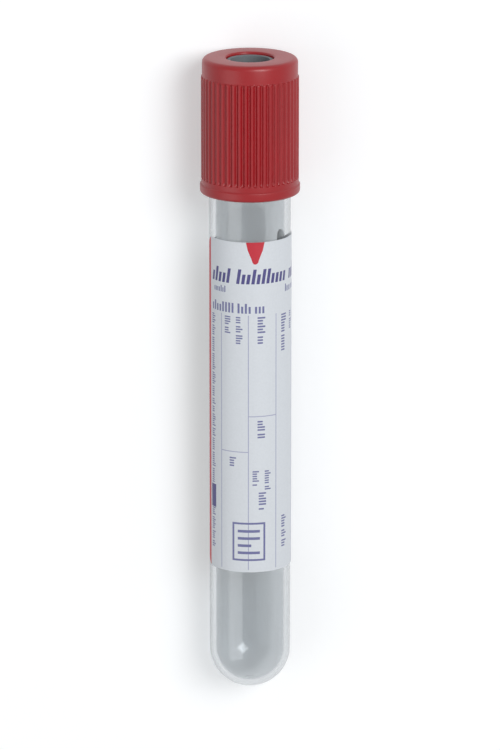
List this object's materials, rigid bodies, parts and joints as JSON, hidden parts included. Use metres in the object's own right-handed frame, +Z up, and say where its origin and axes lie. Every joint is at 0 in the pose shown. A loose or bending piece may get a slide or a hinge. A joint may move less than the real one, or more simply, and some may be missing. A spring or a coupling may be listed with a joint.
{
  "type": "blood collection tube",
  "caption": "Clear round-ended plastic tube with a paper label, closed by a rubber stopper in a fluted red pull-off shield.",
  "frame": {"origin": "middle of the bounding box's floor, under the tube as it lies at rest on its side", "axes": "+Y towards the closure along the tube, +Z up from the surface it lies on, the label's printed front up"},
  "size_m": [0.0158, 0.1042, 0.016],
  "materials": {
    "clear_pet": "clear gloss",
    "grey_rubber": "matte",
    "red_plastic": "satin moulded",
    "white_paper": "coated paper"
  },
  "bodies": {
    "tube_with_label": {"tube": "clear_pet", "label": "white_paper"},
    "closure": {"stopper": "grey_rubber", "shield": "red_plastic"}
  },
  "joints": [
    {"name": "closure_pull", "type": "slide", "parent": "tube_with_label", "child": "closure", "axis": [0, 0.9998, 0.019], "range_m": [0, 0.033]}
  ]
}
